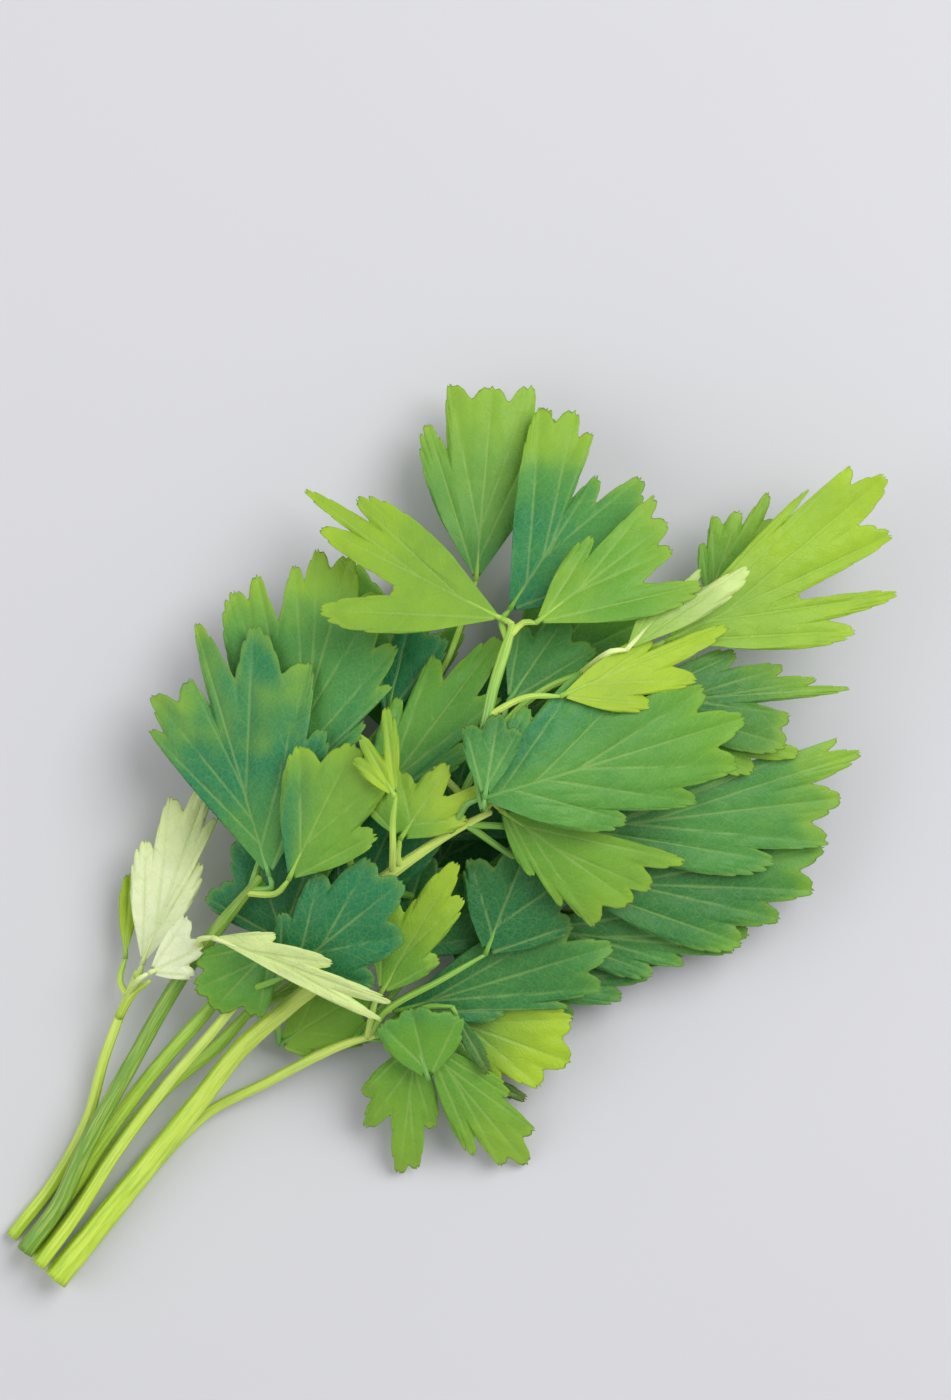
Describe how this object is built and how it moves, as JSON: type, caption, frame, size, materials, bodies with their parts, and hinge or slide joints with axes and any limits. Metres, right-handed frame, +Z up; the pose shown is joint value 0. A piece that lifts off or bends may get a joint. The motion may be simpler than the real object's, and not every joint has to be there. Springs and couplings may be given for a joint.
{
  "type": "parsley bunch",
  "caption": "Small cut bunch of flat-leaf parsley lying on its side, pale stems gathered at one end and lobed leaves fanned out at the other.",
  "frame": {"origin": "middle of the bunch's footprint, on the surface that it lies on", "axes": "+X runs along the bunch from the cut stem ends to the leaf tips, +Y runs across it to the left of someone looking from the stems to the leaves, +Z is up"},
  "size_m": [0.2093, 0.117, 0.0462],
  "materials": {
    "leaf_yellow": "young leaf, yellow-green, satin, slightly see-through",
    "leaf_bright": "leaf, bright mid green, satin, slightly see-through",
    "leaf_green": "leaf, full green, satin",
    "leaf_deep": "shaded leaf, deep blue-green, satin",
    "leaf_pale": "leaf underside, pale whitish green, matt",
    "stem_green": "smooth yellow-green stem, satin",
    "stem_dark": "smooth olive-green stem, satin"
  },
  "bodies": {
    "root": {"main_stem": "stem_green", "hanging_stem": "stem_green", "fourth_stem": "stem_green", "third_stem": "stem_green", "short_stem": "stem_green", "dark_stem": "stem_dark", "left_stem": "stem_green", "crown_stalk": "stem_green", "far_right_stalk": "stem_dark", "leaf_crown_back": "leaf_bright", "leaf_crown_middle": "leaf_deep", "leaf_crown_right": "leaf_bright", "leaf_crown_left": "leaf_bright", "leaf_far_right": "leaf_yellow", "leaf_far_right_fold": "leaf_pale", "leaf_far_right_back": "leaf_bright", "leaf_yellow_right": "leaf_yellow", "leaf_upper_right": "leaf_green", "leaf_small_right": "leaf_bright", "leaf_big_fan": "leaf_green", "leaf_right_middle": "leaf_green", "leaf_right_lower": "leaf_green", "leaf_bottom_right": "leaf_green", "leaf_dark_right": "leaf_green", "leaf_dark_lower": "leaf_deep", "leaf_bright_lower": "leaf_bright", "leaf_hanging_bright": "leaf_bright", "leaf_hanging_left": "leaf_green", "leaf_hanging_right": "leaf_green", "leaf_hanging_back": "leaf_green", "leaf_dark_sliver": "leaf_deep", "leaf_low_sliver": "leaf_green", "leaf_yellow_left": "leaf_yellow", "leaf_small_yellow": "leaf_yellow", "leaf_yellow_inner": "leaf_bright", "leaf_dark_inner": "leaf_deep", "leaf_big_left": "leaf_green", "leaf_big_left_inner": "leaf_bright", "leaf_upper_left": "leaf_green", "leaf_round_dark": "leaf_deep", "leaf_round_green": "leaf_green", "leaf_round_back": "leaf_green", "leaf_middle_left": "leaf_deep", "leaf_middle_top": "leaf_deep", "leaf_middle_low": "leaf_deep", "leaf_crown_cover": "leaf_green", "leaf_cover": "leaf_deep", "leaf_pale_left": "leaf_pale", "leaf_pale_edge": "leaf_bright", "leaf_pale_fold": "leaf_pale", "leaf_pale_curl": "leaf_pale", "leaf_under_left": "leaf_green", "leaf_under_stems": "leaf_green", "leaf_ground_middle": "leaf_deep", "leaf_ground_left": "leaf_green", "leaf_ground_top": "leaf_green", "leaf_ground_far": "leaf_green", "leaf_ground_right": "leaf_green", "leaf_ground_lower": "leaf_green", "leaf_core": "leaf_deep"}
  },
  "joints": []
}
